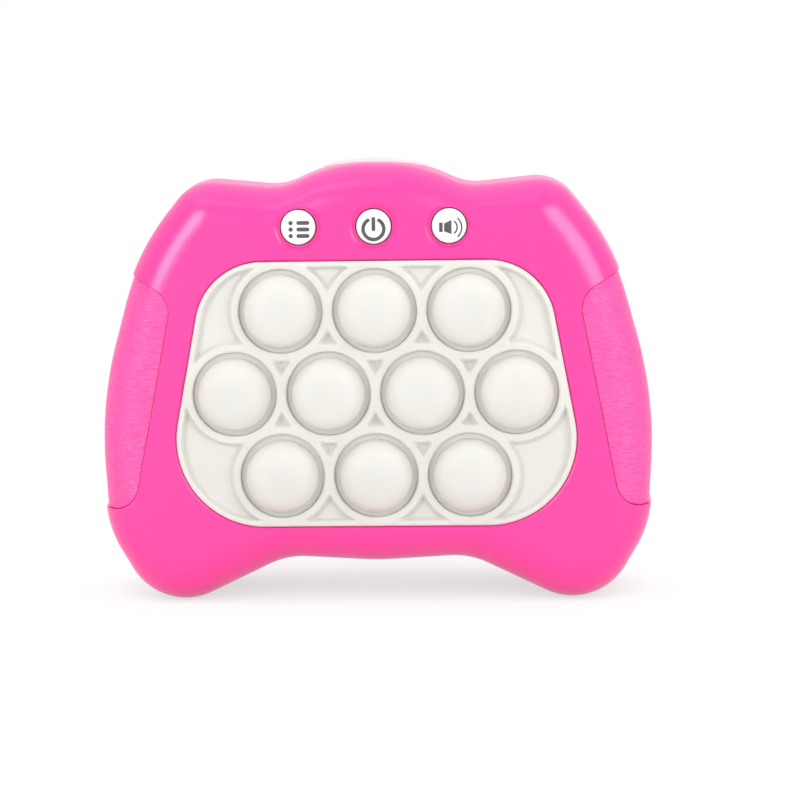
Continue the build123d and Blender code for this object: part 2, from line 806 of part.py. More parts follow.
# Battery door with two tongues, and its screw
with BuildPart() as battery_door:
    with BuildSketch(facing_back(door_inner_y)):
        with Locations((0, cell_middle_z)):
            RectangleRounded(
                2 * door_half_width,
                2 * door_half_height,
                door_corner_round - door_clearance,
            )
    extrude(amount=door_thickness)
    tongue_top_y = hump_inner_y - tongue_clearance
    tongue_places = [cell_middle_z - tongue_spacing / 2, cell_middle_z + tongue_spacing / 2]
    with BuildSketch(facing_front(door_inner_y)):
        with Locations(*[(-door_half_width + tongue_neck, z) for z in tongue_places]):
            Rectangle(tongue_neck, tongue_width)
    extrude(amount=door_inner_y - tongue_top_y + tongue_thickness)
    with BuildSketch(facing_front(tongue_top_y)):
        with Locations(*[(-door_half_width + (tongue_neck - tongue_reach) / 2, z) for z in tongue_places]):
            Rectangle(tongue_reach + tongue_neck, tongue_width)
    extrude(amount=tongue_thickness)
    with BuildSketch(facing_back(door_inner_y)):
        with Locations((-door_screw_x, cell_middle_z)):
            Circle(door_screw_radius + pilot_clearance)
    extrude(amount=door_thickness, mode=Mode.SUBTRACT)
    with BuildSketch(facing_front(back_y)):
        with Locations((door_screw_x, cell_middle_z)):
            Circle(door_screw_head_radius + pilot_clearance)
    extrude(amount=door_screw_head_height, mode=Mode.SUBTRACT)
save(battery_door.part, "battery_door")

with BuildPart() as door_screw:
    with BuildSketch(facing_front(back_y)):
        with Locations((door_screw_x, cell_middle_z)):
            Circle(door_screw_head_radius)
    extrude(amount=door_screw_head_height)
    with BuildSketch(facing_front(back_y - door_screw_head_height)):
        with Locations((door_screw_x, cell_middle_z)):
            Circle(door_screw_radius)
    extrude(amount=door_screw_length)
save(door_screw.part, "door_screw")

# Screws of the casing, driven from the back
with BuildPart() as case_screws:
    with BuildSketch(facing_back(parting_y + case_ledge)):
        with Locations(*both_sides(case_boss_places)):
            Circle(case_screw_head_radius)
    extrude(amount=case_screw_head_height)
    with BuildSketch(facing_front(parting_y + case_ledge)):
        with Locations(*both_sides(case_boss_places)):
            Circle(case_screw_radius)
    extrude(amount=case_screw_length)
save(case_screws.part, "case_screws")

# Screws of the main board
with BuildPart() as board_screws:
    with BuildSketch(facing_back(board_back_y)):
        with Locations(*both_sides(board_boss_places)):
            Circle(board_screw_head_radius)
    extrude(amount=board_screw_head_height)
    with BuildSketch(facing_front(board_back_y)):
        with Locations(*both_sides(board_boss_places)):
            Circle(board_screw_radius)
    extrude(amount=board_screw_length)
save(board_screws.part, "board_screws")
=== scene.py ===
"""Handheld electronic bubble pop game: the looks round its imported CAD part, in metres."""

import math

import bpy
import numpy as np
from mathutils import Matrix, Vector


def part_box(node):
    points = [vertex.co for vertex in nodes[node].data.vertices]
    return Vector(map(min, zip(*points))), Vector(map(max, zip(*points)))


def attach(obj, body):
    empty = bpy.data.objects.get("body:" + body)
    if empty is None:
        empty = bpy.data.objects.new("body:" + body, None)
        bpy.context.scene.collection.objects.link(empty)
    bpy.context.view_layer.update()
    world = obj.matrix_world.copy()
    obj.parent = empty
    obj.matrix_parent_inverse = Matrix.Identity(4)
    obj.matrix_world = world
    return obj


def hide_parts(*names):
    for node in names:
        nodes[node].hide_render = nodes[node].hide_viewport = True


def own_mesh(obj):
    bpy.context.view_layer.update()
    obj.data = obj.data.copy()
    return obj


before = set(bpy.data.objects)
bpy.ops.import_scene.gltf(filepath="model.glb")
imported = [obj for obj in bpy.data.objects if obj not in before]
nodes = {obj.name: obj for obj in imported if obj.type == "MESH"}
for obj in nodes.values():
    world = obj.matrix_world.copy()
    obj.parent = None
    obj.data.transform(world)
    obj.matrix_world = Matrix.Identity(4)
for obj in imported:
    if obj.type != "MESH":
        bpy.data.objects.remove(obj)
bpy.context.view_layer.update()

MM = 0.001
TURN = 2 * math.pi

# Tray opening of the casing, across and up
TRAY_TOP = 76.5 * MM
TRAY_BOTTOM = 17.5 * MM
TRAY_BOTTOM_HALF = 48.4 * MM
TRAY_LEAN = math.radians(10.6)
TRAY_TOP_ROUND = 15.0 * MM
TRAY_BOTTOM_ROUND = 19.5 * MM

# Silicone mat: its floor lies below the lip and the rings
MAT_GAP = 0.06 * MM
MAT_GRID = 0.22 * MM
MAT_DEPTH = 4.4 * MM
MAT_SINK = 1.3 * MM
LIP_FLAT = 1.05 * MM
LIP_FOOT = 1.7 * MM
LIP_HEIGHT = 1.7 * MM
LIP_ROUND = 0.45 * MM
RING_INNER = 9.3 * MM
RING_FLAT = 10.75 * MM
RING_FOOT = 11.9 * MM
RING_HEIGHT = 1.9 * MM
RING_ROUND = 0.4 * MM

# Bubbles: a dome each, on a thin web that starts as a shelf and runs down into a well deep enough for the
# dome's travel
DOME_RADIUS = 8.05 * MM
DOME_FULLNESS = 3.0
DOME_WALL = 1.3 * MM
DOME_FOOT = 1.0 * MM
FOOT_ROUND = 0.1 * MM
BUBBLE_TRAVEL = 2.6 * MM
SHELF_DEPTH = 1.25 * MM
WEB_THICKNESS = 0.35 * MM
WEB_BEND = 0.12 * MM
WEB_INNER = 7.3 * MM
WEB_OUTER = 9.28 * MM
WEB_KEEP = 0.1

# Return spring under the top button
SPRING_WIRE = 0.3 * MM
SPRING_TURNS = 5

# Signs printed on the round buttons
INK_HEIGHT = 0.04 * MM

# Floor: its colour to the eye and its share of light thrown back, where its plain white starts and ends, its
# share of plain white nearer than that, and the reach, the darkest shade and the lean of the soft painted
# shadow round the object, which lies a little behind it
FLOOR_HALF = 6.0
FLOOR_PALE = 0.95
FLOOR_BOUNCE = 0.76
FLOOR_NEAR = 0.12
FLOOR_FAR = 0.32
FLOOR_GLOW = 0.85
SHADOW_REACH = 0.09
SHADOW_SHADE = 0.74
SHADOW_END = 0.66
SHADOW_LEAN = math.radians(25)

# Light from all round: its strength from the front and from the back, and how far to each side of the
# object the one turns into the other, as a share of the direction
ROOM_LIGHT = 0.5
BACKDROP_LIGHT = 0.95
LIGHT_TURN = 0.4

# Casing and silicone: colours, how much light passes into the silicone and how far it spreads there
PINK = (0.93, 0.012, 0.30)
# The grips' pink is the casing's pink made paler: a painted sheen standing in for the whitish shine of their
# rough grain
GRIP_PINK_WITH_SHEEN = (0.93, 0.045, 0.36)
MAT_WHITE = (0.70, 0.69, 0.65)
DOME_WHITE = (0.735, 0.72, 0.67)
MAT_GLOW = 0.3
MAT_SPREAD = 1.0 * MM
DOME_GLOW = 0.7
DOME_SPREAD = 3.5 * MM


def smooth_step(t):
    """0 below 0, 1 above 1, and 3t^2 - 2t^3 between."""
    t = np.clip(t, 0, 1)
    return t * t * (3 - 2 * t)


# Materials


def new_material(name, color, roughness, **sockets):
    """A material with one Principled shader. Its uniform values are set on the shader's own sockets."""
    mat = bpy.data.materials.new(name)
    mat.use_nodes = True
    shader = mat.node_tree.nodes["Principled BSDF"]
    shader.inputs["Base Color"].default_value = (*color, 1)
    shader.inputs["Roughness"].default_value = roughness
    for socket, value in sockets.items():
        shader.inputs[socket.replace("_", " ")].default_value = value
    return mat


def node(mat, kind, **values):
    """A new node of that kind in mat, with its settings and its inputs' values."""
    made = mat.node_tree.nodes.new(kind)
    for key, value in values.items():
        if key in made.inputs:
            made.inputs[key].default_value = value
        else:
            setattr(made, key, value)
    return made


def link(mat, output, target):
    mat.node_tree.links.new(output, target)


def shader_of(mat):
    return mat.node_tree.nodes["Principled BSDF"]


def object_place(mat):
    """Output with the point's place on the object, in metres."""
    return node(mat, "ShaderNodeTexCoord").outputs["Object"]


def noise(mat, scale, detail=2.0, roughness=0.5):
    """Output of a noise whose lumps are about 1/scale metres across."""
    made = node(mat, "ShaderNodeTexNoise", Scale=scale, Detail=detail, Roughness=roughness)
    link(mat, object_place(mat), made.inputs["Vector"])
    return made.outputs["Fac"]


def cells(mat, scale, feature="DISTANCE_TO_EDGE"):
    """Output of a cell pattern whose cells are about 1/scale metres across."""
    made = node(mat, "ShaderNodeTexVoronoi", feature=feature, Scale=scale)
    link(mat, object_place(mat), made.inputs["Vector"])
    return made.outputs["Distance"]


def ramp(mat, source, low, high, start=0.0, end=1.0):
    """Output that goes from the number or colour low at start to high at end."""
    made = node(mat, "ShaderNodeMapRange" if isinstance(low, float) else "ShaderNodeValToRGB")
    if isinstance(low, float):
        for key, value in (("From Min", start), ("From Max", end), ("To Min", low), ("To Max", high)):
            made.inputs[key].default_value = value
        link(mat, source, made.inputs["Value"])
        return made.outputs["Result"]
    made.color_ramp.elements[0].position = start
    made.color_ramp.elements[1].position = end
    made.color_ramp.elements[0].color = (*low, 1)
    made.color_ramp.elements[1].color = (*high, 1)
    link(mat, source, made.inputs["Fac"])
    return made.outputs["Color"]


def bump(mat, height, depth, strength=1.0, under=None):
    """Gives mat a relief of that depth in metres, on top of the relief under it."""
    made = node(mat, "ShaderNodeBump", Strength=strength, Distance=depth)
    link(mat, height, made.inputs["Height"])
    if under is not None:
        link(mat, under, made.inputs["Normal"])
    link(mat, made.outputs["Normal"], shader_of(mat).inputs["Normal"])
    return made.outputs["Normal"]


def tinted(mat, source, low, high, start=0.3, end=0.7):
    """Lets the base colour drift between two close colours."""
    link(mat, ramp(mat, source, low, high, start, end), shader_of(mat).inputs["Base Color"])


def roughened(mat, source, low, high, start=0.3, end=0.7):
    """Lets the roughness drift between two values."""
    link(mat, ramp(mat, source, low, high, start, end), shader_of(mat).inputs["Roughness"])


def shade(color, factor):
    return tuple(min(1.0, c * factor) for c in color)


def casing_plastic():
    """Softly glossy moulded plastic: a faint drift of colour and of gloss, and a very fine orange peel."""
    mat = new_material("casing_plastic", PINK, 0.29, Specular_IOR_Level=1.0)
    tinted(mat, noise(mat, 25, 0), shade(PINK, 0.98), shade(PINK, 1.02), 0.0, 1.0)
    roughened(mat, noise(mat, 60, 1), 0.278, 0.308, 0.0, 1.0)
    bump(mat, noise(mat, 1400, 3), 0.01 * MM, 0.4)
    return mat


def grip_plastic():
    """The casing's plastic with a leather grain: fine wavy wrinkles that run across, over small rounded
    cells.
    Its paler pink is a painted sheen, and the wrinkles' creases are darker in colour, a painted shade."""
    mat = new_material("grip_plastic", GRIP_PINK_WITH_SHEEN, 0.32, Specular_IOR_Level=1.0)
    turned = node(mat, "ShaderNodeMapping", Rotation=(0, math.radians(9), 0), Scale=(0.42, 0.42, 1.45))
    link(mat, object_place(mat), turned.inputs["Vector"])
    wrinkles = node(mat, "ShaderNodeTexNoise", Scale=1500.0, Detail=2.0, Roughness=0.5, Distortion=0.5)
    link(mat, turned.outputs["Vector"], wrinkles.inputs["Vector"])
    # Painted shade: the colour darkens in the wrinkles' creases, after the same pattern as their relief
    tinted(mat, wrinkles.outputs["Fac"], shade(GRIP_PINK_WITH_SHEEN, 0.88), shade(GRIP_PINK_WITH_SHEEN, 1.06), 0.32, 0.62)
    roughened(mat, noise(mat, 500, 3), 0.28, 0.42)
    grain = bump(mat, ramp(mat, cells(mat, 1400), 0.0, 1.0, 0.0, 0.35), 0.05 * MM, 0.6)
    bump(mat, wrinkles.outputs["Fac"], 0.5 * MM, 0.9, grain)
    return mat


def silicone(name, color, glow, reach):
    """Matte silicone with a dusty bloom and a fine matte texture, that spreads light inside it that far."""
    mat = new_material(
        name, color, 0.5, Subsurface_Weight=glow, Subsurface_Scale=reach, Specular_IOR_Level=0.4
    )
    shader_of(mat).inputs["Subsurface Radius"].default_value = (1.0, 0.9, 0.75)
    tinted(mat, noise(mat, 90, 4), shade(color, 0.98), shade(color, 1.02))
    roughened(mat, noise(mat, 250, 4), 0.44, 0.58)
    bump(mat, noise(mat, 2500, 2), 0.01 * MM, 0.5)
    return mat


def white_plastic():
    """Satin white plastic of the buttons."""
    color = (0.86, 0.86, 0.85)
    mat = new_material("white_plastic", color, 0.32, Specular_IOR_Level=0.5)
    tinted(mat, noise(mat, 150), shade(color, 0.97), shade(color, 1.02))
    roughened(mat, noise(mat, 300, 3), 0.28, 0.4)
    bump(mat, noise(mat, 1800, 2), 0.008 * MM, 0.5)
    return mat


def sign_ink():
    """Dark grey printing ink, a little uneven."""
    color = (0.07, 0.068, 0.07)
    mat = new_material("sign_ink", color, 0.5)
    tinted(mat, noise(mat, 1500, 3), shade(color, 0.8), shade(color, 1.25))
    bump(mat, noise(mat, 3000, 2), 0.006 * MM, 0.5)
    return mat


def screw_steel():
    """Zinc-plated steel with fine turning marks."""
    color = (0.58, 0.58, 0.56)
    mat = new_material("screw_steel", color, 0.35, Metallic=1.0)
    tinted(mat, noise(mat, 800, 3), shade(color, 0.85), shade(color, 1.1))
    roughened(mat, noise(mat, 1500, 3), 0.28, 0.48)
    bump(mat, noise(mat, 4000, 2), 0.006 * MM, 0.5)
    return mat


def nickel():
    """Bright nickel plating of contacts and springs, dulled in spots."""
    color = (0.74, 0.72, 0.68)
    mat = new_material("nickel", color, 0.22, Metallic=1.0)
    tinted(mat, noise(mat, 500, 4), shade(color, 0.9), shade(color, 1.05))
    roughened(mat, noise(mat, 900, 4), 0.16, 0.38)
    return mat


def board_laminate():
    """Green solder mask, lighter where it lies on the copper tracks, which stand out a little."""
    green, track = (0.012, 0.12, 0.045), (0.02, 0.2, 0.08)
    mat = new_material("board_laminate", green, 0.3)
    made = node(mat, "ShaderNodeTexVoronoi", feature="F1", distance="CHEBYCHEV", Scale=260.0)
    link(mat, object_place(mat), made.inputs["Vector"])
    tinted(mat, made.outputs["Distance"], track, green, 0.4, 0.45)
    bump(mat, ramp(mat, made.outputs["Distance"], 1.0, 0.0, 0.4, 0.46), 0.03 * MM, 0.6)
    return mat


def dark_plastic(name, color, rough):
    """Black moulding with a fine matte texture."""
    mat = new_material(name, color, rough)
    tinted(mat, noise(mat, 400, 3), shade(color, 0.8), shade(color, 1.2))
    roughened(mat, noise(mat, 900, 3), rough - 0.08, rough + 0.08)
    bump(mat, noise(mat, 2500, 2), 0.01 * MM, 0.5)
    return mat


def frame_plastic():
    """Plain white moulding that keeps each bubble's light to itself."""
    color = (0.8, 0.8, 0.78)
    mat = new_material("frame_plastic", color, 0.45)
    tinted(mat, noise(mat, 80, 3), shade(color, 0.96), shade(color, 1.02))
    bump(mat, noise(mat, 1500, 2), 0.01 * MM, 0.5)
    return mat


def light_lens():
    """Clear lens over a pale yellow phosphor."""
    color = (0.9, 0.86, 0.6)
    mat = new_material("light_lens", color, 0.12, Coat_Weight=1.0, Coat_Roughness=0.05)
    tinted(mat, noise(mat, 900, 2), shade(color, 0.92), shade(color, 1.03))
    return mat


def cell_wrap():
    """Dark grey shrink wrap of a plain cell, with a faint metal sheen."""
    dark = (0.035, 0.035, 0.04)
    mat = new_material("cell_wrap", dark, 0.3, Metallic=0.6)
    tinted(mat, noise(mat, 220, 3), shade(dark, 0.85), shade(dark, 1.3))
    roughened(mat, noise(mat, 600, 3), 0.24, 0.4)
    return mat


def paper_cone():
    """Loudspeaker's black paper and basket."""
    color = (0.03, 0.03, 0.032)
    mat = new_material("paper_cone", color, 0.7)
    tinted(mat, noise(mat, 700, 4), shade(color, 0.7), shade(color, 1.4))
    bump(mat, noise(mat, 1200, 4), 0.03 * MM, 0.6)
    return mat


pink = casing_plastic()
grip = grip_plastic()
rubber = silicone("silicone", MAT_WHITE, MAT_GLOW, MAT_SPREAD)
dome_rubber = silicone("dome_silicone", DOME_WHITE, DOME_GLOW, DOME_SPREAD)
white = white_plastic()
ink = sign_ink()
steel = screw_steel()
plated = nickel()
board = board_laminate()
black = dark_plastic("switch_moulding", (0.02, 0.02, 0.021), 0.45)
carbon = dark_plastic("carbon_pill", (0.012, 0.012, 0.012), 0.6)
inner_frame = frame_plastic()
lens = light_lens()
wrap = cell_wrap()
cone = paper_cone()

finishes = {
    "front_shell": pink,
    "rear_shell": pink,
    "battery_door": pink,
    "left_grip": grip,
    "right_grip": grip,
    "bubble_mat": rubber,
    "light_frame": inner_frame,
    "main_board": board,
    "top_board": board,
    "bubble_lights": lens,
    "front_switches": black,
    "top_switch": black,
    "mode_button": white,
    "power_button": white,
    "sound_button": white,
    "top_button": white,
    "top_spring": plated,
    "speaker": cone,
    "battery_contacts": plated,
    "door_screw": steel,
    "case_screws": steel,
    "board_screws": steel,
}


def set_material(obj, mat):
    obj.data.materials.clear()
    obj.data.materials.append(mat)


for name, obj in nodes.items():
    if name.startswith("bubble_") and name[-2:].isdigit():
        set_material(obj, rubber)
    elif name.startswith("contact_pill"):
        set_material(obj, carbon)
    elif name.startswith("battery_") and name[-1].isdigit():
        set_material(obj, wrap)
    else:
        set_material(obj, finishes[name])


# Tools for meshes


def make_object(name, points, faces, mat, body):
    """A smooth object from an array of points and one of faces, all triangles or all quads."""
    mesh = bpy.data.meshes.new(name)
    corners = faces.shape[1]
    mesh.vertices.add(len(points))
    mesh.vertices.foreach_set("co", points.astype(np.float32).ravel())
    mesh.loops.add(faces.size)
    mesh.loops.foreach_set("vertex_index", faces.astype(np.int32).ravel())
    mesh.polygons.add(len(faces))
    mesh.polygons.foreach_set("loop_start", np.arange(0, faces.size, corners, dtype=np.int32))
    mesh.polygons.foreach_set("use_smooth", np.ones(len(faces), bool))
    mesh.update(calc_edges=True)
    mesh.validate()
    obj = bpy.data.objects.new(name, mesh)
    bpy.context.scene.collection.objects.link(obj)
    mesh.materials.append(mat)
    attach(obj, body)
    return obj


def grid_faces(rows, columns, wrap_columns=False):
    """Quads of a grid of rows x columns points, numbered row by row."""
    number = np.arange(rows * columns).reshape(rows, columns)
    if wrap_columns:
        number = np.hstack([number, number[:, :1]])
    a, b, c, d = number[:-1, :-1], number[:-1, 1:], number[1:, 1:], number[1:, :-1]
    return np.stack([a, b, c, d], -1).reshape(-1, 4)


def as_triangles(quads):
    return np.concatenate([quads[:, [0, 1, 2]], quads[:, [0, 2, 3]]])


def compact(points, triangles):
    """The points that the triangles use, and the triangles by their new numbers."""
    used, numbers = np.unique(triangles, return_inverse=True)
    return points[used], numbers.reshape(-1, 3)


def tube(grid):
    """Points and triangles of a grid of rows x columns points whose rows each close on themselves. A row
    whose points lie together becomes a single point, and the triangles that lose their area there go."""
    rows, columns = grid.shape[:2]
    points = grid.reshape(-1, 3)
    number = np.arange(len(points)).reshape(rows, columns)
    pole = np.ptp(grid, axis=1).max(-1) < 1e-9
    number[pole] = number[pole][:, :1]
    triangles = number.ravel()[as_triangles(grid_faces(rows, columns, True))]
    a, b, c = triangles.T
    return compact(points, triangles[(a != b) & (b != c) & (c != a)])


def lathe(radii, depths, centre, steps=120):
    """Points and triangles of a profile turned about the axis through centre, which runs along Y. Column k of
    the grid stands at the angle -2 pi k / steps: x = centre + radius cos, z = centre + radius sin."""
    angles = -np.arange(steps) / steps * TURN
    x = centre[0] + np.outer(radii, np.cos(angles))
    z = centre[1] + np.outer(radii, np.sin(angles))
    y = np.repeat(depths[:, None], steps, 1)
    return tube(np.stack([x, y, z], -1))


def coil(centre, low, high, radius, wire, turns, steps=36, around=12):
    """Points and triangles of a round wire wound about the upright axis through centre, between the heights
    low and high. Its middle line is (radius cos a, radius sin a, rise), and the rise goes slowly in the first
    and the last turn, which lie on themselves. Round that line, at the angle s, the surface stands off by
    wire (cos s outwards + sin s sideways)."""
    turned = np.linspace(0, turns, turns * steps + 1)
    room = high - low - 2 * wire
    rise = np.interp(turned, [0, 1, turns - 1, turns], [0, 2 * wire, room - 2 * wire, room])
    angle = turned * TURN
    out = np.stack([np.cos(angle), np.sin(angle), np.zeros_like(angle)], -1)
    line = radius * out + np.array([*centre, low + wire])
    line[:, 2] += rise
    along = np.gradient(line, axis=0)
    along /= np.linalg.norm(along, axis=1, keepdims=True)
    side = np.cross(along, out)
    s = np.arange(around) / around * TURN
    ring = np.cos(s)[:, None] * out[:, None] + np.sin(s)[:, None] * side[:, None]
    grid = line[:, None] + wire * ring
    ends = np.repeat(line[[0, -1], None], around, 1)
    return tube(np.concatenate([ends[:1], grid, ends[1:]]))


def joined(parts):
    """Several (points, faces) pairs as one."""
    points, faces, start = [], [], 0
    for p, f in parts:
        points.append(p)
        faces.append(f + start)
        start += len(p)
    return np.concatenate(points), np.concatenate(faces)


# Domes of the bubbles and the webs that carry them

bubble_names = sorted(n for n in nodes if n.startswith("bubble_") and n[-2:].isdigit())
bubble_boxes = [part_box(n) for n in bubble_names]
centres = np.array([[(lo.x + hi.x) / 2, (lo.z + hi.z) / 2] for lo, hi in bubble_boxes])
tip_y = bubble_boxes[0][0].y
front_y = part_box("front_shell")[0].y
floor_y = front_y + MAT_SINK
shelf_y = floor_y - RING_HEIGHT + SHELF_DEPTH
well_bottom_y = shelf_y + BUBBLE_TRAVEL / (1 - WEB_KEEP)


def dome_profile():
    """Radius and depth, from the tip out over a quarter of an oval that is fuller than an ellipse, where
    (radius / widest)^n + (height / highest)^n = 1, straight on to the foot, and back inside the wall."""
    turn = np.linspace(0, math.pi / 2, 64)
    across, along = np.sin(turn) ** (2 / DOME_FULLNESS), np.cos(turn) ** (2 / DOME_FULLNESS)
    across[0], along[-1] = 0, 0
    highest = shelf_y - tip_y
    outside = DOME_RADIUS * across, shelf_y - highest * along
    inside = (DOME_RADIUS - DOME_WALL) * across[::-1], shelf_y - (highest - DOME_WALL) * along[::-1]
    foot_r = np.array([DOME_RADIUS, DOME_RADIUS - FOOT_ROUND, inside[0][0]])
    foot_y = shelf_y + DOME_FOOT - np.array([FOOT_ROUND, 0, 0])
    return np.concatenate([outside[0], foot_r, inside[0]]), np.concatenate([outside[1], foot_y, inside[1]])


def web_side(inset):
    """Radius and depth of one side of the web: a flat shelf from inside the dome's wall, a quarter round at
    its rim, and then down and slightly out to the bottom of the well."""
    turn = np.linspace(0, math.pi / 2, 8)[1:]
    rim, top = WEB_OUTER - inset, shelf_y + inset
    flat = np.linspace(WEB_INNER, rim - WEB_BEND, 6)
    down = np.linspace(0, 1, 6)[1:]
    low = top + WEB_BEND
    radii = [flat, rim - WEB_BEND * (1 - np.sin(turn)), rim + (RING_INNER - WEB_OUTER) * down]
    depths = [np.full(6, top), low - WEB_BEND * np.cos(turn), low + (well_bottom_y - low) * down]
    return np.concatenate(radii), np.concatenate(depths)


for name, centre in zip(bubble_names, centres):
    points, triangles = lathe(*dome_profile(), centre)
    dome = make_object(name.replace("bubble", "dome"), points, triangles, dome_rubber, name)
    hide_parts(name)

    (front_r, front_d), (back_r, back_d) = web_side(0), web_side(WEB_THICKNESS)
    radii = np.concatenate([front_r, back_r[::-1], front_r[:1]])
    depths = np.concatenate([front_d, back_d[::-1], front_d[:1]])
    points, triangles = lathe(radii, depths, centre)
    web = make_object(name.replace("bubble", "web"), points, triangles, rubber, "casing")
    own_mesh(web)


# Mat round the bubbles


def tray_inside(x, z):
    """Distance from the tray opening's outline inwards: the nearest of its straight sides, and at the
    rounded corners the corner's radius less the distance from the corner's centre."""
    across = np.abs(x)
    cos, sin = math.cos(TRAY_LEAN), math.sin(TRAY_LEAN)
    reach = TRAY_BOTTOM_HALF * cos + TRAY_BOTTOM * sin
    inside = np.minimum(np.minimum(TRAY_TOP - z, z - TRAY_BOTTOM), reach - across * cos - z * sin)
    for edge, radius, up in ((TRAY_TOP, TRAY_TOP_ROUND, 1), (TRAY_BOTTOM, TRAY_BOTTOM_ROUND, -1)):
        centre_z = edge - up * radius
        centre_x = (reach - radius - centre_z * sin) / cos
        dx, dz = across - centre_x, z - centre_z
        corner = (dx > 0) & (up * (dz * cos - dx * sin) > 0)
        inside = np.where(corner, radius - np.hypot(dx, dz), inside)
    return inside


def mat_depth(x, z):
    """Depth of the mat's front: its floor, with the lip along the edge and a ring round each bubble
    raised on it. Each has a flat crest and a smooth foot, and where they meet they run into each other."""
    edge = tray_inside(x, z) - MAT_GAP
    lip = 1 - smooth_step((edge - LIP_FLAT) / (LIP_FOOT - LIP_FLAT))
    radius = np.hypot(x[..., None] - centres[:, 0], z[..., None] - centres[:, 1])
    ring = 1 - smooth_step((radius - RING_FLAT) / (RING_FOOT - RING_FLAT))
    no_ring = np.prod(1 - ring, -1)
    raised = (1 - (1 - lip) * no_ring) * (LIP_HEIGHT + (RING_HEIGHT - LIP_HEIGHT) * (1 - no_ring))
    inner = np.clip(1 - (radius.min(-1) - RING_INNER) / RING_ROUND, 0, 1)
    outer = np.clip(1 - edge / LIP_ROUND, 0, 1)
    drop = RING_ROUND * (1 - np.sqrt(1 - inner**2)) + LIP_ROUND * (1 - np.sqrt(1 - outer**2))
    return floor_y - raised + drop


def mat_kept(x, z):
    """Distance inwards from the mat's own edge or out from the nearest bubble's well, whichever is less."""
    radius = np.hypot(x[..., None] - centres[:, 0], z[..., None] - centres[:, 1])
    return np.minimum(tray_inside(x, z) - MAT_GAP, radius.min(-1) - RING_INNER)


def mat_surface():
    """A square grid over the tray. Points nearer than half a step to the edge of what is kept move on to it,
    each square is split so that no triangle crosses that edge, and the triangles outside are left out."""
    x_line = np.arange(-TRAY_BOTTOM_HALF - MAT_GRID, TRAY_BOTTOM_HALF + MAT_GRID, MAT_GRID)
    z_line = np.arange(TRAY_BOTTOM - MAT_GRID, TRAY_TOP + MAT_GRID, MAT_GRID)
    z, x = np.meshgrid(z_line, x_line, indexing="ij")
    step = 0.01 * MM
    for _ in range(3):
        kept = mat_kept(x, z)
        slope_x = (mat_kept(x + step, z) - mat_kept(x - step, z)) / (2 * step)
        slope_z = (mat_kept(x, z + step) - mat_kept(x, z - step)) / (2 * step)
        length = np.maximum(slope_x**2 + slope_z**2, 0.25)
        near = np.abs(kept) < MAT_GRID / 2
        x = np.where(near, x - kept * slope_x / length, x)
        z = np.where(near, z - kept * slope_z / length, z)
    side = np.where(near, 0, np.sign(kept)).astype(int).ravel()
    quads = grid_faces(*x.shape)
    a, b, c, d = quads.T
    cut_ac = (side[b] * side[d] < 0)[:, None]
    first = np.where(cut_ac, np.stack([a, b, c], -1), np.stack([a, b, d], -1))
    second = np.where(cut_ac, np.stack([a, c, d], -1), np.stack([b, c, d], -1))
    triangles = np.concatenate([first, second])
    held = (side[triangles].min(1) >= 0) & (side[triangles].max(1) > 0)
    triangles = triangles[held]
    points = np.stack([x.ravel(), mat_depth(x, z).ravel(), z.ravel()], -1)
    return compact(points, triangles)


def edge_path(count):
    """The mat's edge as points at even angles round the tray's middle, each moved out until it lies on it."""
    angle = np.arange(count) / count * TURN
    middle = (TRAY_TOP + TRAY_BOTTOM) / 2
    low, high = np.zeros(count), np.full(count, TRAY_BOTTOM_HALF + TRAY_TOP)
    for _ in range(40):
        reach = (low + high) / 2
        inside = tray_inside(reach * np.cos(angle), middle + reach * np.sin(angle)) - MAT_GAP > 0
        low, high = np.where(inside, reach, low), np.where(inside, high, reach)
    return low * np.cos(angle), middle + low * np.sin(angle)


def standing_wall(x, z, top, bottom, inwards):
    """A closed wall that stands on the path x, z from the depth top, which may vary, to the depth bottom."""
    share = np.linspace(0, 1, 12)[:, None]
    y = top + (bottom - top) * share
    points = np.stack([np.broadcast_to(x, y.shape), y, np.broadcast_to(z, y.shape)], -1).reshape(-1, 3)
    quads = grid_faces(len(share), len(x), True)
    return points, quads[:, ::-1] if inwards else quads


parts = [mat_surface()]
for centre in centres:
    angle = np.arange(160) / 160 * TURN
    x, z = centre[0] + RING_INNER * np.cos(angle), centre[1] + RING_INNER * np.sin(angle)
    points, quads = standing_wall(x, z, mat_depth(x, z), well_bottom_y + WEB_THICKNESS, True)
    parts.append((points, as_triangles(quads)))
x, z = edge_path(720)
points, quads = standing_wall(x, z, mat_depth(x, z), front_y + MAT_DEPTH, False)
parts.append((points, as_triangles(quads)))
points, triangles = joined(parts)
mat_skin = make_object("mat_skin", points, triangles, rubber, "casing")
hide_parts("bubble_mat")


# Coil under the top button

spring_low, spring_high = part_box("top_spring")
spring_centre = ((spring_low.x + spring_high.x) / 2, (spring_low.y + spring_high.y) / 2)
spring_radius = (spring_high.x - spring_low.x) / 2 - SPRING_WIRE
points, triangles = coil(spring_centre, spring_low.z, spring_high.z, spring_radius, SPRING_WIRE, SPRING_TURNS)
spring = make_object("return_coil", points, triangles, plated, "casing")
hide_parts("top_spring")
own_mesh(spring)


# Printed signs


def arc(centre, radius, angles):
    """Points of a circle at those angles in radians."""
    return np.array(centre, float) + radius * np.stack([np.cos(angles), np.sin(angles)], -1)


def capsule(start, end, radius, count=24):
    """Outline of a bar with round ends: half a circle about each end of its middle line."""
    along = np.subtract(end, start)
    half = math.atan2(along[1], along[0]) + np.linspace(-math.pi / 2, math.pi / 2, count)
    return np.concatenate([arc(end, radius, half), arc(start, radius, half + math.pi)])


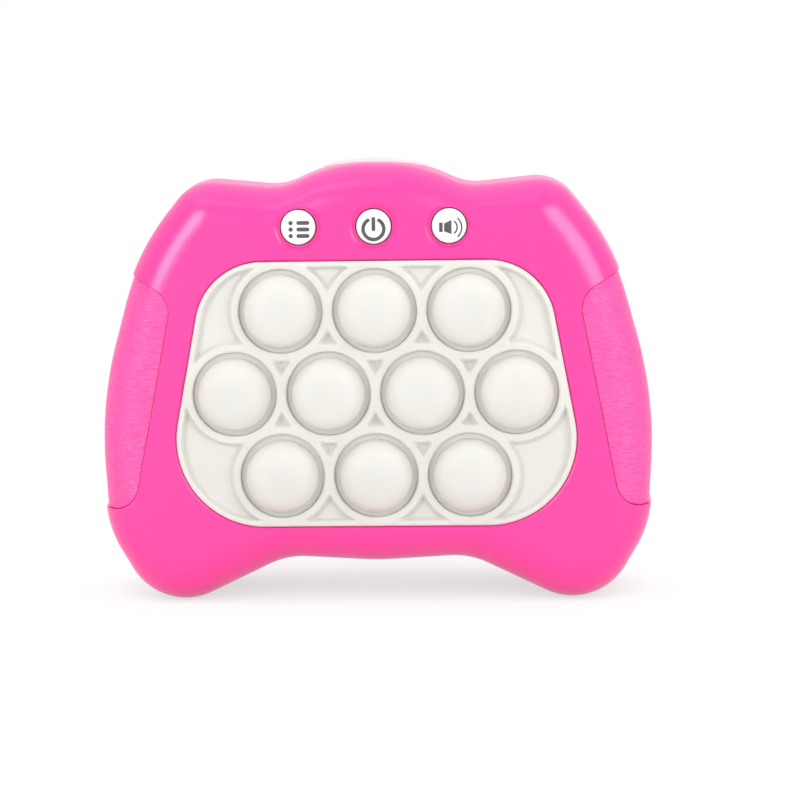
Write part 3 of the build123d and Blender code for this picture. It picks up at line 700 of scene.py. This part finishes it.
def band(centre, radius, width, low, high, count=48):
    """Outline of a piece of a ring between two angles in degrees, with round ends."""
    angles = np.radians(np.linspace(low, high, count))
    cap = np.linspace(0, math.pi, 10)[1:-1]
    first, last = arc(centre, radius, angles[[0, -1]])
    outer, inner = radius + width / 2, radius - width / 2
    outside = [arc(centre, outer, angles), arc(last, width / 2, angles[-1] + cap)]
    inside = [arc(centre, inner, angles[::-1]), arc(first, width / 2, angles[0] + math.pi + cap)]
    return np.concatenate(outside + inside)


def printed(name, outlines, body):
    """Thin flat prints on a button's cap: each outline, in millimetres from the cap's middle, filled at the
    ink's height above the cap and as deep below it, with the side between."""
    lo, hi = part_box(body)
    cx, cz, y = (lo.x + hi.x) / 2, (lo.z + hi.z) / 2, lo.y
    made = bpy.data.meshes.new(name)
    points, faces, start = [], [], 0
    for outline in outlines:
        count = len(outline)
        x, z = cx + outline[:, 0] * MM, cz + outline[:, 1] * MM
        for depth in (y - INK_HEIGHT, y + INK_HEIGHT):
            points.append(np.stack([x, np.full(count, depth), z], -1))
        faces.append(list(range(start, start + count)))
        faces.append(list(range(start + 2 * count - 1, start + count - 1, -1)))
        nearer = np.arange(count) + start
        further = nearer + count
        sides = np.stack([nearer, further, np.roll(further, -1), np.roll(nearer, -1)], -1)
        faces.extend(sides.tolist())
        start += 2 * count
    made.from_pydata(np.concatenate(points).tolist(), [], faces)
    made.update()
    made.materials.append(ink)
    obj = bpy.data.objects.new(name, made)
    bpy.context.scene.collection.objects.link(obj)
    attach(obj, body)
    return obj


def corners_of(*places):
    """Outline with straight sides through those places."""
    return np.array(places, float)


def list_sign():
    """Three dots, each with a bar to its right."""
    rows = (0.95, -0.48, -1.91)
    dots = [capsule((-1.6, z), (-1.6, z), 0.47) for z in rows]
    return dots + [capsule((0.1, z), (2.1, z), 0.43) for z in rows]


def power_sign():
    """A ring that is open at its top, with a bar through the gap."""
    return [band((0, -0.56), 2.28, 0.78, 122, 418), capsule((0, -0.62), (0, 1.7), 0.4)]


def sound_sign():
    """A loudspeaker: its magnet, its horn that widens to the right, and two arcs of sound."""
    magnet = corners_of((-2.2, -1.34), (-1.4, -1.34), (-1.4, 0.68), (-2.2, 0.68))
    horn = corners_of((-1.12, -1.2), (0.53, -1.86), (0.53, 1.24), (-1.12, 0.5))
    return [magnet, horn, band((0, -0.33), 1.75, 0.34, -48, 48), band((0, -0.4), 2.75, 0.34, -46, 46)]


printed("list_print", list_sign(), "mode_button")
printed("power_print", power_sign(), "power_button")
printed("sound_print", sound_sign(), "sound_button")


# Floor, light and backdrop


def seen_rays(tree):
    """Output that is 1 for rays from the camera and for those that polished or clear things send on."""
    rays = tree.nodes.new("ShaderNodeLightPath")
    total = rays.outputs["Is Camera Ray"]
    for name in ("Is Glossy Ray", "Is Transmission Ray"):
        made = tree.nodes.new("ShaderNodeMath")
        made.operation = "MAXIMUM"
        tree.links.new(total, made.inputs[0])
        tree.links.new(rays.outputs[name], made.inputs[1])
        total = made.outputs[0]
    return total


def pale_floor():
    """A wide floor that shows a soft shadow near the object, mostly painted into its glow and partly cast,
    and turns into plain white further off.
    """
    half = FLOOR_HALF
    mesh = bpy.data.meshes.new("floor")
    ends = [(-half, -half, 0), (half, -half, 0), (half, half, 0), (-half, half, 0)]
    mesh.from_pydata(ends, [], [(0, 1, 2, 3)])
    obj = bpy.data.objects.new("floor", mesh)
    bpy.context.scene.collection.objects.link(obj)
    mat = new_material("floor", (FLOOR_PALE,) * 3, 0.9, Specular_IOR_Level=0.0)
    tree = mat.node_tree
    seen = seen_rays(tree)
    tinted(mat, seen, (FLOOR_BOUNCE,) * 3, (FLOOR_PALE,) * 3, 0.0, 1.0)
    distance = node(mat, "ShaderNodeVectorMath", operation="LENGTH")
    link(mat, object_place(mat), distance.inputs[0])
    far = ramp(mat, distance.outputs["Value"], FLOOR_GLOW, 1.0, FLOOR_NEAR, FLOOR_FAR)
    share = node(mat, "ShaderNodeMath", operation="MULTIPLY")
    link(mat, far, share.inputs[0])
    link(mat, seen, share.inputs[1])
    # Painted shadow: the floor's glow, as seen, darkens where ambient occlusion over a hemisphere leant to
    # the front finds the object near
    leaning = node(mat, "ShaderNodeCombineXYZ", Y=-math.sin(SHADOW_LEAN), Z=math.cos(SHADOW_LEAN))
    open_sky = node(mat, "ShaderNodeAmbientOcclusion", Distance=SHADOW_REACH, samples=16)
    link(mat, leaning.outputs["Vector"], open_sky.inputs["Normal"])
    glow = node(mat, "ShaderNodeEmission")
    link(mat, ramp(mat, open_sky.outputs["AO"], SHADOW_SHADE, 1.0, 0.0, SHADOW_END), glow.inputs["Strength"])
    mixed = node(mat, "ShaderNodeMixShader")
    link(mat, share.outputs[0], mixed.inputs["Fac"])
    link(mat, shader_of(mat).outputs["BSDF"], mixed.inputs[1])
    link(mat, glow.outputs["Emission"], mixed.inputs[2])
    link(mat, mixed.outputs["Shader"], tree.nodes["Material Output"].inputs["Surface"])
    mesh.materials.append(mat)


def room_light():
    """A world that is plain white wherever it is seen or mirrored, and lights the object from all round."""
    world = bpy.data.worlds.new("world")
    bpy.context.scene.world = world
    world.use_nodes = True
    tree = world.node_tree
    light = tree.nodes["Background"]
    light.inputs["Color"].default_value = (1, 1, 1, 1)
    direction = tree.nodes.new("ShaderNodeSeparateXYZ")
    tree.links.new(tree.nodes.new("ShaderNodeTexCoord").outputs["Generated"], direction.inputs["Vector"])
    strength = tree.nodes.new("ShaderNodeMapRange")
    ends = {"From Min": -LIGHT_TURN, "From Max": LIGHT_TURN, "To Min": ROOM_LIGHT, "To Max": BACKDROP_LIGHT}
    for key, value in ends.items():
        strength.inputs[key].default_value = value
    tree.links.new(direction.outputs["Y"], strength.inputs["Value"])
    tree.links.new(strength.outputs["Result"], light.inputs["Strength"])
    white_wall = tree.nodes.new("ShaderNodeBackground")
    white_wall.inputs["Strength"].default_value = 1.0
    white_wall.inputs["Color"].default_value = (1, 1, 1, 1)
    mix = tree.nodes.new("ShaderNodeMixShader")
    tree.links.new(seen_rays(tree), mix.inputs["Fac"])
    tree.links.new(light.outputs["Background"], mix.inputs[1])
    tree.links.new(white_wall.outputs["Background"], mix.inputs[2])
    tree.links.new(mix.outputs["Shader"], tree.nodes["World Output"].inputs["Surface"])


def softbox(name, place, aim, width, height, power, mirrored=True):
    """A soft lamp at place that points at aim. Only a mirrored one is seen in shiny surfaces."""
    lamp = bpy.data.lights.new(name, "AREA")
    lamp.shape = "RECTANGLE"
    lamp.size, lamp.size_y = width, height
    lamp.energy = power
    obj = bpy.data.objects.new(name, lamp)
    bpy.context.scene.collection.objects.link(obj)
    obj.location = place
    obj.rotation_euler = (Vector(aim) - Vector(place)).to_track_quat("-Z", "Y").to_euler()
    obj.visible_camera = False
    obj.visible_glossy = mirrored


LEFT_SIDE = (-0.045, -0.021, 0.085)
RIGHT_SIDE = (0.045, -0.021, 0.085)
TOP_EDGE = (-0.02, -0.02, 0.09)
BEHIND = (0, 0.3, 0)

pale_floor()
room_light()
softbox("left_window", (-0.431, -0.69, 0.29), LEFT_SIDE, width=0.36, height=0.42, power=2.2)
softbox("right_window", (0.495, -0.64, 0.32), RIGHT_SIDE, width=0.6, height=0.45, power=2.65)
softbox("top_strip", (-0.232, -0.387, 0.768), TOP_EDGE, width=0.5, height=0.11, power=0.3)
softbox("overhead", (0, 0.3, 0.95), BEHIND, width=1.8, height=1.4, power=8, mirrored=False)


# Camera where the photograph was taken from

CAMERA_DISTANCE = 0.51
CAMERA_ELEVATION = math.radians(4.85)
CAMERA_TURN = math.radians(1.85)
CAMERA_ROLL = math.radians(0.66)
CAMERA_AIM = Vector((0, 0, 0.049))
CAMERA_LENS = 99.33
SENSOR_WIDTH = 36
CAMERA_REACH = (0.01, 20)
FRAME_PIXELS = 800
OBJECT_PIXEL = (378.5, 376.7)

level = math.cos(CAMERA_ELEVATION)
eye = CAMERA_AIM + CAMERA_DISTANCE * Vector(
    (math.sin(CAMERA_TURN) * level, -math.cos(CAMERA_TURN) * level, math.sin(CAMERA_ELEVATION))
)
camera = bpy.data.cameras.new("camera")
camera.lens = CAMERA_LENS
camera.sensor_width = SENSOR_WIDTH
camera.shift_x = (FRAME_PIXELS / 2 - OBJECT_PIXEL[0]) / FRAME_PIXELS
camera.shift_y = -(FRAME_PIXELS / 2 - OBJECT_PIXEL[1]) / FRAME_PIXELS
camera.clip_start, camera.clip_end = CAMERA_REACH
viewer = bpy.data.objects.new("camera", camera)
bpy.context.scene.collection.objects.link(viewer)
look = (CAMERA_AIM - eye).to_track_quat("-Z", "Y").to_matrix().to_4x4()
viewer.matrix_world = Matrix.Translation(eye) @ look @ Matrix.Rotation(-CAMERA_ROLL, 4, "Z")
bpy.context.scene.camera = viewer
bpy.context.scene.view_settings.view_transform = "Standard"
